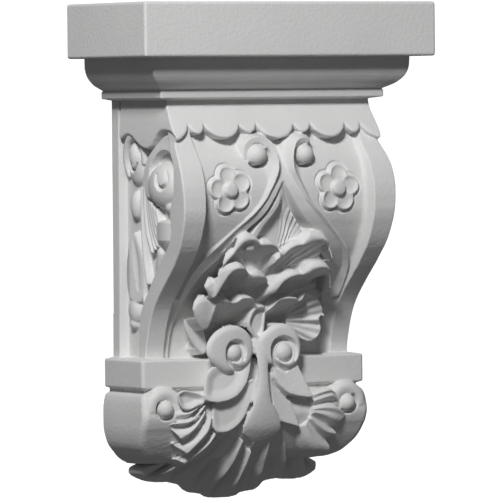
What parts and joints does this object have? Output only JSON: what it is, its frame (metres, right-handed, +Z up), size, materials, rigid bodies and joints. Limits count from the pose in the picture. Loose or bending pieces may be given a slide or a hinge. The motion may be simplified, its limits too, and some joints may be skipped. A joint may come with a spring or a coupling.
{
  "type": "corbel",
  "caption": "Carved wall bracket with a moulded shelf top, a curved face with flowers and ribbon scrolls, layered husks, small volutes and an acanthus leaf foot.",
  "frame": {"origin": "centre of the flat back, half way up", "axes": "+Z up, +X to the right as the front is seen, +Y into the wall, front faces -Y"},
  "size_m": [0.2032, 0.0984, 0.3048],
  "materials": {
    "primed_cast": "factory primed white with a fine grain"
  },
  "bodies": {
    "root": {"corbel": "primed_cast"}
  },
  "joints": []
}
